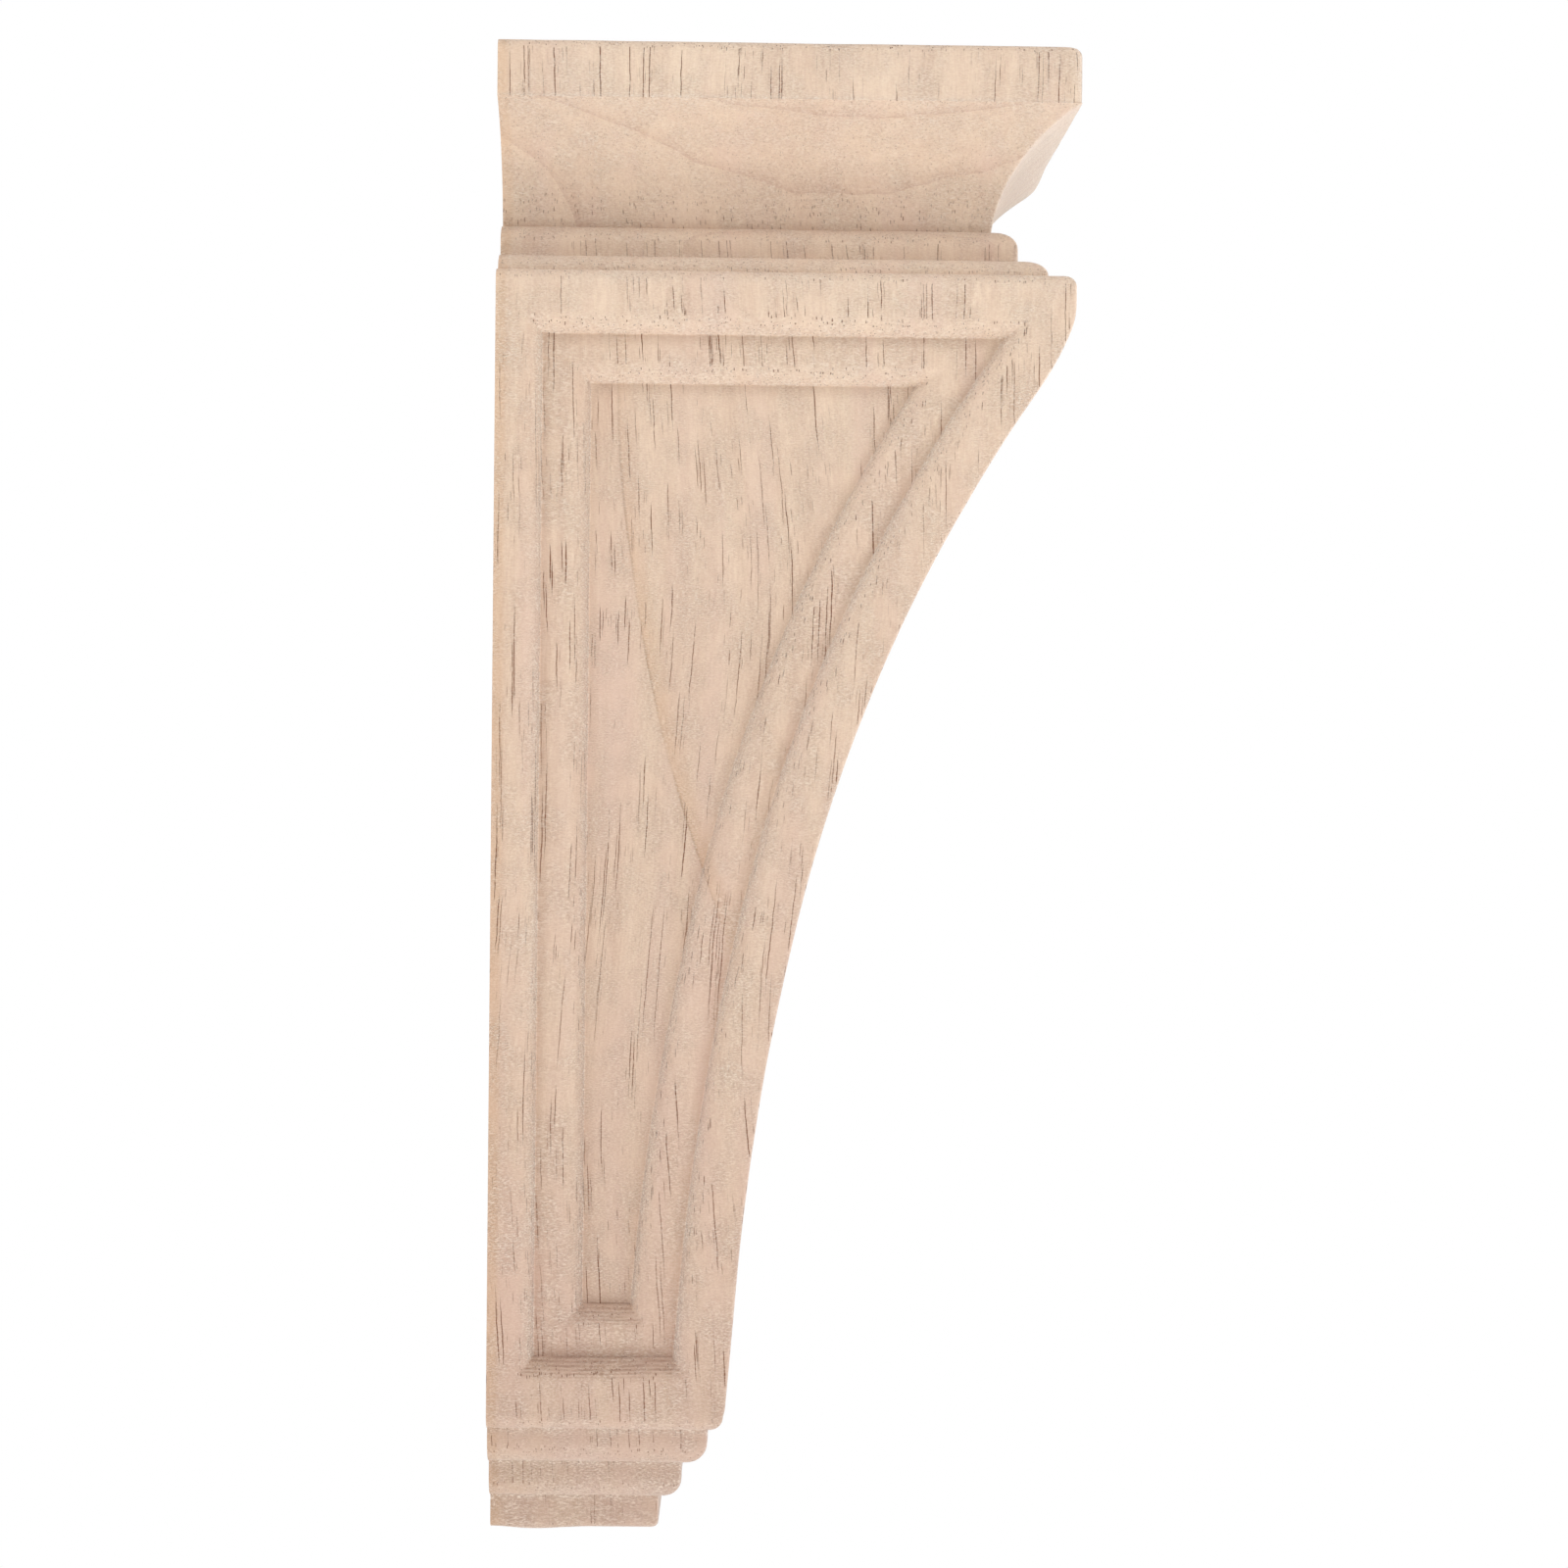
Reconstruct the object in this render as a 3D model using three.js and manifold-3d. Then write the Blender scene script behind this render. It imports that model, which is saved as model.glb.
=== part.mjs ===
import * as THREE from 'three';
import { mergeVertices } from 'three/addons/utils/BufferGeometryUtils.js';
import Module from 'manifold-3d';

// A wooden corbel in one piece: a crown moulding, two rounded steps, a body whose front sweeps
// back to a slim heel, three steps under it, and a sunk panel with two steps in each side.
// Sizes are in millimetres. The front faces +X and the back lies flat in the plane X = 0,
// where it goes against the wall. The origin is the centre of that back face.

// Overall
const height = 355.6;
const width = 114.3;
const softEdge = 0.8; // rounding of the upright front corners

// Crown, from the top down
const crownLip = 0.6; // how far the band stands out past the body
const bandHeight = 13.4;
const bandRound = 2.5;
const bandCorner = 2.2;
const coveHeight = 28;
const coveInset = 19.6;
const coveRadius = 36;

// The two steps between the crown's neck and the body
const upperStepHeight = 7.7;
const upperStepInset = 13;
const upperRoundHeight = 4.6;
const lowerStepHeight = 4.4;
const lowerStepInset = 6.2;
const lowerRoundDepth = 6.1;
const lowerRoundHeight = 4;

// Body
const bodyDepth = 136.5;
const heelDepth = 56.3;
const bodyTopRound = 2.8;
const noseDrop = 6.9; // upright stretch at the top of the front

// The line of the front below the nose, as drawn: it turns back towards the wall, sweeps
// down and comes nearly upright again. Turns are in degrees.
const sweepArcs = [
  { radius: 17.2, turn: 20.8 },
  { radius: 57.6, turn: 9.6 },
  { radius: 110, turn: 3.9 },
  { radius: 369, turn: -20.8 },
  { radius: 587, turn: -9 },
];
const sweepTail = 34.6; // straight stretch down to the heel

// Steps under the body, from the bottom up
const footInset = 15.5;
const footHeight = 8.3;
const footRound = 1.8;
const middleInset = 10;
const middleHeight = 9.6;
const topInset = 3.8;
const topHeight = 9.3;

// Sunk side panel: what is left standing round its first step, measured to that step's foot
const backStile = 10.8;
const frontStile = 13.4;
const topRail = 14.7;
const bottomRail = 17.1;
const panelStep = 11.3; // from the foot of the first step to the foot of the second
const bottomStep = 12; // the same along the bottom, where the second step sits higher
const panelRound = 5.2; // width of the rounded edge over each step
const panelDepth = 4.2; // how deep each step goes

// Facets
const roundSteps = 5;
const coveSteps = 10;
const cornerSteps = 3;
const degreesPerStep = 2;
const panelSteps = 34;
const overshoot = 1;

const crownDepth = bodyDepth + crownLip;
const bandFloor = height - bandHeight;
const neck = bandFloor - coveHeight;
const lowerStepTop = neck - upperStepHeight;
const bodyTop = lowerStepTop - lowerStepHeight;
const topFloor = footHeight + middleHeight;
const bodyFloor = topFloor + topHeight;

const { degToRad, radToDeg } = THREE.MathUtils;

// Points of a rounded edge as {inset, up}, from the first angle to the second in degrees
function roundedEdge(inset, up, depth, rise, from, to, steps = roundSteps) {
  const curve = new THREE.EllipseCurve(inset, up, depth, rise,
    degToRad(from), degToRad(to), to < from);
  return curve.getPoints(steps).map((point) => ({ inset: point.x, up: point.y }));
}

// A rounded edge between a face that stands at an inset and the step above it
function roundOver(inset, top, depth, rise) {
  return roundedEdge(inset + depth, top - rise, depth, rise, 180, 90);
}

// The rounded underside of a step, from the next step's inset out to its own
function roundUnder(inner, outer, floor, stepHeight) {
  const depth = inner - outer;
  const rise = Math.min(depth, stepHeight);
  return roundedEdge(inner, floor + rise, depth, rise, 270, 180);
}

// The hollow between the neck and the band, an arc that bulges into the wood
function coveEdge() {
  const chord = Math.hypot(coveInset, coveHeight);
  const toCentre = Math.sqrt(coveRadius ** 2 - (chord / 2) ** 2);
  const centreInset = coveInset / 2 - toCentre * coveHeight / chord;
  const centreUp = neck + coveHeight / 2 - toCentre * coveInset / chord;
  const from = Math.atan2(neck - centreUp, coveInset - centreInset);
  const to = Math.atan2(bandFloor - centreUp, -centreInset);
  return roundedEdge(centreInset, centreUp, coveRadius, coveRadius,
    radToDeg(from), radToDeg(to), coveSteps);
}

// The drawn line of the sweep, as distances back and down from its start at the nose. Lean is
// the angle between the line and the upright.
function drawnSweep() {
  const points = [{ back: 0, down: 0, lean: 0 }];
  for (const { radius, turn } of sweepArcs) {
    const { back, down, lean } = points[points.length - 1];
    const signed = radius * Math.sign(turn);
    const steps = Math.ceil(Math.abs(turn) / degreesPerStep);
    for (let i = 1; i <= steps; i += 1) {
      const next = lean + degToRad(turn) * i / steps;
      points.push({
        back: back + signed * (Math.cos(lean) - Math.cos(next)),
        down: down + signed * (Math.sin(next) - Math.sin(lean)),
        lean: next,
      });
    }
  }
  const { back, down, lean } = points[points.length - 1];
  points.push({
    back: back + sweepTail * Math.sin(lean),
    down: down + sweepTail * Math.cos(lean),
    lean,
  });
  return points;
}

// The sweep in place, from the heel up to the nose, stretched to the body's own depths and
// heights
function placedSweep() {
  const drawn = drawnSweep();
  const end = drawn[drawn.length - 1];
  const noseFloor = bodyTop - noseDrop;
  const backwards = (bodyDepth - heelDepth) / end.back;
  const downwards = (noseFloor - bodyFloor) / end.down;
  return drawn.map(({ back, down, lean }) => ({
    x: bodyDepth - back * backwards,
    up: noseFloor - down * downwards,
    lean: Math.atan2(Math.sin(lean) * backwards, Math.cos(lean) * downwards),
  })).reverse();
}

const sweep = placedSweep();

// All level sections of the corbel from the underside to the top. Side is how far the section
// is narrower than the body on each side.
function levels() {
  const all = [];
  const add = (points, depth, corner = softEdge) => {
    for (const { inset, up } of points) {
      all.push({ up, front: depth - inset, side: inset, corner });
    }
  };

  add(roundedEdge(footInset + footRound, footRound, footRound, footRound, 270, 180), heelDepth);
  add(roundUnder(footInset, middleInset, footHeight, middleHeight), heelDepth);
  add(roundUnder(middleInset, topInset, topFloor, topHeight), heelDepth);
  add(roundUnder(topInset, 0, bodyFloor, topInset), heelDepth);

  for (const { x, up } of sweep.filter((point) => point.up > bodyFloor + topInset)) {
    all.push({ up, front: x, side: 0, corner: softEdge });
  }
  add(roundOver(0, bodyTop, bodyTopRound, bodyTopRound), bodyDepth);

  add([{ inset: lowerStepInset, up: bodyTop }], bodyDepth);
  add(roundOver(lowerStepInset, lowerStepTop, lowerRoundDepth, lowerRoundHeight), bodyDepth);
  const neckInset = coveInset - crownLip;
  add([{ inset: upperStepInset, up: lowerStepTop }], bodyDepth);
  add(roundOver(upperStepInset, neck, neckInset - upperStepInset, upperRoundHeight), bodyDepth);

  add(coveEdge(), crownDepth);
  add([{ inset: 0, up: bandFloor }], crownDepth, bandCorner);
  add(roundOver(0, height, bandRound, bandRound), crownDepth, bandCorner);
  return all;
}

// One level section: an oblong against the wall with its two front corners rounded
function outline({ up, front, side, corner }) {
  const half = width / 2 - side;
  const points = [new THREE.Vector3(0, -half, up)];
  for (const hand of [-1, 1]) {
    for (let i = 0; i <= cornerSteps; i += 1) {
      const angle = Math.PI / 2 * (i / cornerSteps - (hand < 0 ? 1 : 0));
      points.push(new THREE.Vector3(
        front - corner + corner * Math.cos(angle),
        hand * (half - corner) + corner * Math.sin(angle),
        up,
      ));
    }
  }
  points.push(new THREE.Vector3(0, half, up));
  return points;
}

// A closed solid through rings with the same number of points, each counter-clockwise as the
// next ring sees it. Both ends close with rungs between the first and second half of a ring.
function loft(rings) {
  const count = rings[0].length;
  const last = count * (rings.length - 1);
  const indices = [];
  for (let start = 0; start < last; start += count) {
    for (let i = 0; i < count; i += 1) {
      const a = start + i;
      const b = start + (i + 1) % count;
      indices.push(a, b, b + count, a, b + count, a + count);
    }
  }
  for (let a = 0; a < count / 2 - 1; a += 1) {
    const b = a + 1;
    const c = count - 1 - b;
    const d = count - 1 - a;
    indices.push(a, c, b, a, d, c);
    indices.push(last + a, last + b, last + c, last + a, last + c, last + d);
  }
  const positions = rings.flat().flatMap((point) => [point.x, point.y, point.z]);
  const geometry = new THREE.BufferGeometry();
  geometry.setAttribute('position', new THREE.Float32BufferAttribute(positions, 3));
  geometry.setIndex(indices);
  return geometry;
}

// The front edge of the panel: the sweep moved into the wood by a distance, between two heights
function panelFront(distance, bottom, top) {
  const moved = sweep.map(({ x, up, lean }) => new THREE.Vector2(
    x - distance * Math.cos(lean),
    up + distance * Math.sin(lean),
  ));
  const atHeight = (up) => {
    const above = Math.max(moved.findIndex((point) => point.y >= up), 1);
    const low = moved[above - 1];
    const high = moved[above];
    return low.x + (high.x - low.x) * (up - low.y) / (high.y - low.y);
  };
  const points = [];
  for (let i = 0; i <= panelSteps; i += 1) {
    const share = 1 - (1 - i / panelSteps) ** 1.6; // closer together towards the nose
    const up = bottom + (top - bottom) * share;
    points.push(new THREE.Vector2(atHeight(up), up));
  }
  return points;
}

// The outline of a step of the panel, grown by a margin from the foot of the first: up the front
// edge and down the back one, with the points of both at the same heights
function panelOutline(margin, step) {
  const bottom = bodyFloor + bottomRail + step * (bottomStep - panelStep) - margin;
  const top = bodyTop - topRail + margin;
  const front = panelFront(frontStile - margin, bottom, top);
  const back = front.map((point) => new THREE.Vector2(backStile - margin, point.y)).reverse();
  return [...front, ...back];
}

// What is cut out of one side: hand is -1 for the near side and 1 for the far side
function panelCut(hand) {
  const rings = [];
  const add = (step, margin, depth) => {
    const y = hand * (width / 2 - depth);
    rings.push(panelOutline(margin, step).map(({ x, y: up }) => new THREE.Vector3(x, y, up)));
  };
  add(0, panelRound, -overshoot);
  for (const step of [0, 1]) {
    for (let i = 0; i <= roundSteps; i += 1) {
      const angle = Math.PI / 2 * i / roundSteps;
      add(step, panelRound * (1 - Math.sin(angle)) - step * panelStep,
        panelDepth * (step + 1 - Math.cos(angle)));
    }
  }
  if (hand < 0) {
    rings.reverse();
  }
  return loft(rings);
}

const wasm = await Module();
wasm.setup();

// Where two rings share a point, the triangles between them that have no width are left out
function toSolid(geometry) {
  const merged = mergeVertices(geometry);
  const corners = merged.index.array;
  const kept = [];
  for (let i = 0; i < corners.length; i += 3) {
    const [a, b, c] = corners.slice(i, i + 3);
    if (a !== b && b !== c && c !== a) {
      kept.push(a, b, c);
    }
  }
  return new wasm.Manifold(new wasm.Mesh({
    numProp: 3,
    vertProperties: merged.attributes.position.array,
    triVerts: Uint32Array.from(kept),
  }));
}

function toGeometry(solid) {
  const mesh = solid.getMesh();
  const geometry = new THREE.BufferGeometry();
  geometry.setAttribute('position', new THREE.Float32BufferAttribute(mesh.vertProperties, 3));
  geometry.setIndex(Array.from(mesh.triVerts));
  geometry.computeVertexNormals();
  return geometry;
}

const rawWood = new THREE.MeshStandardMaterial({
  color: 0xdcc1ad,
  roughness: 0.78,
  metalness: 0,
  flatShading: true,
});

function corbel() {
  let solid = toSolid(loft(levels().map(outline)));
  for (const hand of [-1, 1]) {
    solid = solid.subtract(toSolid(panelCut(hand)));
  }
  const mesh = new THREE.Mesh(toGeometry(solid), rawWood);
  mesh.name = 'corbel';
  mesh.position.z = -height / 2;
  return mesh;
}

const model = new THREE.Group();
model.add(corbel());

export default model;
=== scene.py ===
import math

import bpy
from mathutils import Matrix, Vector


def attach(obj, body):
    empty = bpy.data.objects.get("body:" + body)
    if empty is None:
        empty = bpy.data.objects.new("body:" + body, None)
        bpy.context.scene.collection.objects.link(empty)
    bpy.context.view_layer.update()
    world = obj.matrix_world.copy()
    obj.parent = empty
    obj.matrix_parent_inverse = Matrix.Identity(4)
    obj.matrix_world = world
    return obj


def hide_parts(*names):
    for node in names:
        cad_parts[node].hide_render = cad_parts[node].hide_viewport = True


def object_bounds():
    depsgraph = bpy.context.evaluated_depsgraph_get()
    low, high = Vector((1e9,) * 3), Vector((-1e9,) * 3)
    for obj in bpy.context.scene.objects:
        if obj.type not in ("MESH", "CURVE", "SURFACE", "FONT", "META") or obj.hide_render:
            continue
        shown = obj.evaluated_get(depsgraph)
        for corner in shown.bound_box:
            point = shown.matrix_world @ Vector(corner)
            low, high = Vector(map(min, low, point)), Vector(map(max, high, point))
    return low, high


# A raw wooden corbel cut from one block: crown moulding, swept front, stepped foot, and a panel
# sunk in two rounded steps into each side. Metres, back in the plane X = 0, front facing +X.

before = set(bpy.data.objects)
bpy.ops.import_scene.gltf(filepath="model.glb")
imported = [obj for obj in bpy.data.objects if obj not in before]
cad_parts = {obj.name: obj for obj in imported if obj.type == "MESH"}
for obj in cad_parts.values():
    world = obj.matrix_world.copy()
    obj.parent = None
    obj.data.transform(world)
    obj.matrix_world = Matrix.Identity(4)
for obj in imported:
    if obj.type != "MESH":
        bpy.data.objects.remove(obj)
cadLow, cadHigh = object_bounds()
print("frame loaded")


# The block

corbel = {
    "height": round(cadHigh[2] - cadLow[2], 6),
    "width": round(cadHigh[1] - cadLow[1], 6),
    "softEdge": 0.0008,          # rounding of the upright front corners
    "crownLip": 0.0006,
    "bandHeight": 0.0134,
    "bandRound": 0.0025,
    "bandCorner": 0.0022,
    "bandTear": 0.0012,          # height of the torn strip above the hollow
    "coveHeight": 0.028,
    "coveInset": 0.0196,
    "coveRadius": 0.036,
    "farCoveFill": 0.005,        # the hollow is cut less deep towards the far side,
    "farFillPeak": 0.2,          # most at this share of the way down it
    "upperStepHeight": 0.0077,
    "upperStepInset": 0.013,
    "upperRoundHeight": 0.0046,
    "upperStepTear": 0.0015,     # height of the torn strip above the lower step
    "lowerStepHeight": 0.0044,
    "lowerStepInset": 0.0062,
    "lowerRoundDepth": 0.0061,
    "lowerRoundHeight": 0.004,
    "bodyDepth": 0.1365,
    "heelDepth": 0.0563,
    "bodyTopRound": 0.0028,
    "noseDrop": 0.0069,
    # the front's line below the nose: radius and turn in degrees of each arc, then a straight
    "sweepArcs": [(17.2, 20.8), (57.6, 9.6), (110, 3.9), (369, -20.8), (587, -9)],
    "sweepTail": 34.6,
    "footInset": 0.0155,
    "footHeight": 0.0083,
    "footRound": 0.0018,
    "middleInset": 0.01,
    "middleHeight": 0.0096,
    "topInset": 0.0038,
    "topHeight": 0.0093,
    "overhangTear": 0.0022,      # height of the torn strip under each overhang of the foot,
    "overhangTearEnd": 0.0006,   # and how far below the overhang it is torn most
    "footSag": 0.0006,           # the underside hangs a little low near the back
}

panel = {
    "backStile": 0.0108,
    "frontStile": 0.0134,
    "topRail": 0.0147,
    "bottomRail": 0.0171,
    "step": 0.0113,              # from the foot of the first step to the foot of the second
    "bottomStep": 0.012,         # the same along the bottom
    "edgeRound": 0.0052,         # width of each rounded edge
    "edgeDepth": 0.0042,         # how deep each step goes
    "footLine": 0.0003,          # a line just past the foot of each wall keeps its corner crisp
}

mesh = {
    "roundSteps": 8,
    "footRoundSteps": 4,
    "coveSteps": 22,
    "cornerSteps": 3,
    "stileColumns": 5,
    "fieldColumns": 44,
    "frontColumns": 44,
    "bodyRows": 92,
    "leastRise": 0.00002,
}

crownDepth = corbel["bodyDepth"] + corbel["crownLip"]
bandFloor = corbel["height"] - corbel["bandHeight"]
neck = bandFloor - corbel["coveHeight"]
lowerStepTop = neck - corbel["upperStepHeight"]
bodyTop = lowerStepTop - corbel["lowerStepHeight"]
noseFloor = bodyTop - corbel["noseDrop"]
topFloor = corbel["footHeight"] + corbel["middleHeight"]
bodyFloor = topFloor + corbel["topHeight"]
half = corbel["width"] / 2
middle = corbel["height"] / 2


# Profiles of the mouldings, as (inset from the body's face, height)

def roundedEdge(inset, up, depth, rise, start, end, steps=mesh["roundSteps"]):
    points = []
    for i in range(steps + 1):
        angle = math.radians(start + (end - start) * i / steps)
        points.append((inset + depth * math.cos(angle), up + rise * math.sin(angle)))
    return points


def roundOver(inset, top, depth, rise):
    return roundedEdge(inset + depth, top - rise, depth, rise, 180, 90)


def roundUnder(inner, outer, floor, stepHeight):
    depth = inner - outer
    rise = min(depth, stepHeight)
    edge = roundedEdge(inner, floor + rise, depth, rise, 270, 180)
    plain = stepHeight - rise - corbel["overhangTear"]
    if plain > 0:                        # the plain face above the rounded part
        edge.append((outer, floor + rise + plain / 2))
    return edge


def coveEdge():
    rise, inset, radius = corbel["coveHeight"], corbel["coveInset"], corbel["coveRadius"]
    chord = math.hypot(inset, rise)
    toCentre = math.sqrt(radius ** 2 - (chord / 2) ** 2)
    centreInset = inset / 2 - toCentre * rise / chord
    centreUp = neck + rise / 2 - toCentre * inset / chord
    start = math.degrees(math.atan2(neck - centreUp, inset - centreInset))
    end = math.degrees(math.atan2(bandFloor - centreUp, -centreInset))
    return roundedEdge(centreInset, centreUp, radius, radius, start, end, mesh["coveSteps"])


# Front line from below the heel to above the nose, as (x, up, lean)
def drawSweep():
    points = [(0.0, 0.0, 0.0)]
    for radius, turn in corbel["sweepArcs"]:
        back, down, lean = points[-1]
        signed = math.copysign(radius, turn)
        steps = math.ceil(abs(turn) * 2)
        for i in range(1, steps + 1):
            turned = lean + math.radians(turn) * i / steps
            points.append((
                back + signed * (math.cos(lean) - math.cos(turned)),
                down + signed * (math.sin(turned) - math.sin(lean)),
                turned,
            ))
    back, down, lean = points[-1]
    tail = corbel["sweepTail"]
    points.append((back + tail * math.sin(lean), down + tail * math.cos(lean), lean))
    backwards = (corbel["bodyDepth"] - corbel["heelDepth"]) / points[-1][0]
    downwards = (noseFloor - bodyFloor) / points[-1][1]
    line = []
    for back, down, lean in reversed(points):
        leaning = math.atan2(math.sin(lean) * backwards, math.cos(lean) * downwards)
        line.append((corbel["bodyDepth"] - back * backwards, noseFloor - down * downwards, leaning))

    # It runs on past both ends, so that a line moved into the wood still reaches every height
    runDown, runUp = 0.05, 0.02
    x, up, lean = line[0]
    line.insert(0, (x - runDown * math.sin(lean), up - runDown * math.cos(lean), lean))
    line.append((corbel["bodyDepth"], bodyTop + runUp, 0.0))
    return line


sweep = drawSweep()


# Depth of the front at a height, moved into the wood by a distance along its normal
def frontAt(up, distance=0.0):
    previous = None
    for x, z, lean in sweep:
        here = (x - distance * math.cos(lean), z + distance * math.sin(lean))
        if previous and here[1] >= up:
            share = (up - previous[1]) / (here[1] - previous[1])
            return previous[0] + (here[0] - previous[0]) * share
        previous = here
    return previous[0]


# Distances into the panel, from the foot of its first step, where rows and columns are laid
def panelLines():
    r, step, count = panel["edgeRound"], panel["step"], mesh["roundSteps"]
    wall = [-r * (1 - math.sin(math.pi / 2 * i / count)) for i in range(count + 1)]
    wall.append(panel["footLine"])
    ledge = step - r
    return wall + [ledge * i / 4 for i in range(1, 4)] + [step + line for line in wall]


offsets = panelLines()
outside = -0.03              # offset of everything that isn't in a panel


# Height above the foot of the panel's first step along the bottom, where the second sits higher
def bottomLine(into):
    ledge = (into - offsets[mesh["roundSteps"] + 1]) / (panel["step"] - panel["edgeRound"])
    return into + (panel["bottomStep"] - panel["step"]) * min(max(ledge, 0), 1)


def between(start, end, count):
    return [start + (end - start) * i / count for i in range(1, count)]


# Rows of the mesh along a profile: height, front depth, side inset, corner radius, distance into
# the panel, and how torn a cutter left the wood there, which also sets the painted light on it
def rowsAlong(edge, depth, corner=corbel["softEdge"], tornAndPaintedLight=(0.15, 0.15)):
    rows = []
    for i, (inset, up) in enumerate(edge):
        share = i / max(len(edge) - 1, 1)
        rows.append({"up": up, "front": depth - inset, "side": inset, "corner": corner,
                     "into": outside, "tornAndPaintedLight": tornAndPaintedLight[0] + (tornAndPaintedLight[1] - tornAndPaintedLight[0]) * share})
    return rows


def footRows():
    heel, inset, foot = corbel["heelDepth"], corbel["footInset"], corbel["footRound"]
    plain = corbel["footHeight"] - foot
    rows = rowsAlong(
        roundedEdge(inset + foot, foot, foot, foot, 270, 180, mesh["footRoundSteps"]), heel)
    rows += rowsAlong([(inset, foot + plain * i / 4) for i in (1, 2)], heel)

    # Inset of the face below each overhang, its own inset, where it starts and how high it is
    overhangs = [
        (inset, corbel["middleInset"], corbel["footHeight"], corbel["middleHeight"]),
        (corbel["middleInset"], corbel["topInset"], topFloor, corbel["topHeight"]),
        (corbel["topInset"], 0, bodyFloor, corbel["topInset"]),
    ]
    for below, outer, floor, height in overhangs:
        strip = [(below, floor - corbel["overhangTear"]),
                 (below, floor - corbel["overhangTearEnd"])]
        under = roundUnder(below, outer, floor, height)
        rows += rowsAlong(strip, heel, tornAndPaintedLight=(0.1, 0.8))
        rows += rowsAlong(under[:3], heel, tornAndPaintedLight=(0.9, 0.6))
        rows += rowsAlong(under[3:], heel, tornAndPaintedLight=(0.35, 0.1))
    return rows


def bodyRows():
    panelFloor = bodyFloor + panel["bottomRail"]
    panelTop = bodyTop - panel["topRail"]
    low, high = panelFloor + bottomLine(offsets[-1]), panelTop - offsets[-1]
    count = mesh["bodyRows"]
    fieldEdge = [offsets[-1] + (high - low) * min(i, count - i) / count for i in range(1, count)]
    lowerRail = between(bodyFloor + corbel["topInset"], panelFloor + offsets[0], 5)
    upperRail = between(panelTop - offsets[0], bodyTop - corbel["bodyTopRound"], 4)
    heights = [(up, outside) for up in lowerRail]
    heights += [(panelFloor + bottomLine(into), into) for into in offsets]
    heights += list(zip(between(low, high, count), fieldEdge))
    heights += [(panelTop - into, into) for into in reversed(offsets)]
    heights += [(up, outside) for up in upperRail]
    return [{"up": up, "front": frontAt(up), "side": 0, "corner": corbel["softEdge"],
             "into": into, "tornAndPaintedLight": 0} for up, into in heights]


def crownRows():
    depth, corner = corbel["bodyDepth"], corbel["bandCorner"]
    neckInset = corbel["coveInset"] - corbel["crownLip"]
    lowerInset, upperInset = corbel["lowerStepInset"], corbel["upperStepInset"]
    ledgeTornAndPaintedLight = (0.8, 0.8)
    topRound, bandRound = corbel["bodyTopRound"], corbel["bandRound"]
    rows = rowsAlong(roundOver(0, bodyTop, topRound, topRound), depth, tornAndPaintedLight=(0.3, 0.7))
    rows += rowsAlong([(lowerInset, bodyTop)], depth, tornAndPaintedLight=ledgeTornAndPaintedLight)
    rows += rowsAlong(roundOver(lowerInset, lowerStepTop, corbel["lowerRoundDepth"],
                                corbel["lowerRoundHeight"]), depth, tornAndPaintedLight=(0.5, 0.6))
    rows += rowsAlong([(upperInset, lowerStepTop)], depth, tornAndPaintedLight=ledgeTornAndPaintedLight)
    rows += rowsAlong([(upperInset, lowerStepTop + corbel["upperStepTear"])], depth)
    rows += rowsAlong(roundOver(upperInset, neck, neckInset - upperInset,
                                corbel["upperRoundHeight"]), depth, tornAndPaintedLight=(0.1, 0.7))
    rows += rowsAlong(coveEdge(), crownDepth, tornAndPaintedLight=(0.3, 0.5))
    rows += rowsAlong([(0, bandFloor)], crownDepth, corner, tornAndPaintedLight=ledgeTornAndPaintedLight)
    plain = corbel["bandHeight"] - bandRound
    rows += rowsAlong([(0, bandFloor + corbel["bandTear"])], crownDepth, corner)
    rows += rowsAlong([(0, bandFloor + plain * i / 6) for i in range(1, 6)], crownDepth, corner)
    rows += rowsAlong(roundOver(0, corbel["height"], bandRound, bandRound), crownDepth, corner)
    return rows


# All rows from the underside up. Ledges rise by a hair, because level ones would leave faces
# without area in the flat back.
def layRows():
    rows = footRows() + bodyRows() + crownRows()
    for lower, upper in zip(rows, rows[1:]):
        upper["up"] = max(upper["up"], lower["up"] + mesh["leastRise"])
    return rows


# How torn the wood is at a distance into the panel, which also sets its painted light and shade:
# most at the foot of each rounded wall. The upright walls and those facing down turn pale, partly
# as painted light. Along the bottom, where the walls face up, the cutter met end grain, which is
# marked by a number below nothing and darkened partly as painted shade.
def tornAndPaintedLightAt(into, wall):
    for foot in (0, panel["step"]):
        share = 1 + (into - foot) / panel["edgeRound"]
        if 0 < share <= 1.001:
            return {"bottom": -min(share * 2, 1), "top": share * 0.7, "side": share ** 2}[wall]
    return 0


# Columns of one side at a height: depth and distance into the panel
def sideColumns(up, front):
    r, count = offsets[0], mesh["stileColumns"]
    backStart = panel["backStile"] + r
    columns = [(backStart * i / count, outside) for i in range(count)]
    columns += [(panel["backStile"] + into, into) for into in offsets]
    low = panel["backStile"] + offsets[-1]
    high = frontAt(up, panel["frontStile"] + offsets[-1])
    fields = mesh["fieldColumns"]
    fieldEdge = [offsets[-1] + (high - low) * min(i, fields - i) / fields for i in range(1, fields)]
    columns += list(zip(between(low, high, fields), fieldEdge))
    columns += [(frontAt(up, panel["frontStile"] + into), into) for into in reversed(offsets)]
    stile = frontAt(up, panel["frontStile"] + r)
    columns += [(stile + (front - stile) * i / count, outside) for i in range(1, count + 1)]
    return columns


# How much shallower the hollow is at its far end, at a height
def coveFill(up):
    down = (bandFloor - up) / corbel["coveHeight"]
    if not 0 < down < 1:
        return 0
    toPeak = down / corbel["farFillPeak"]
    return corbel["farCoveFill"] * (toPeak * math.exp(1 - toPeak)) ** 1.5


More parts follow.
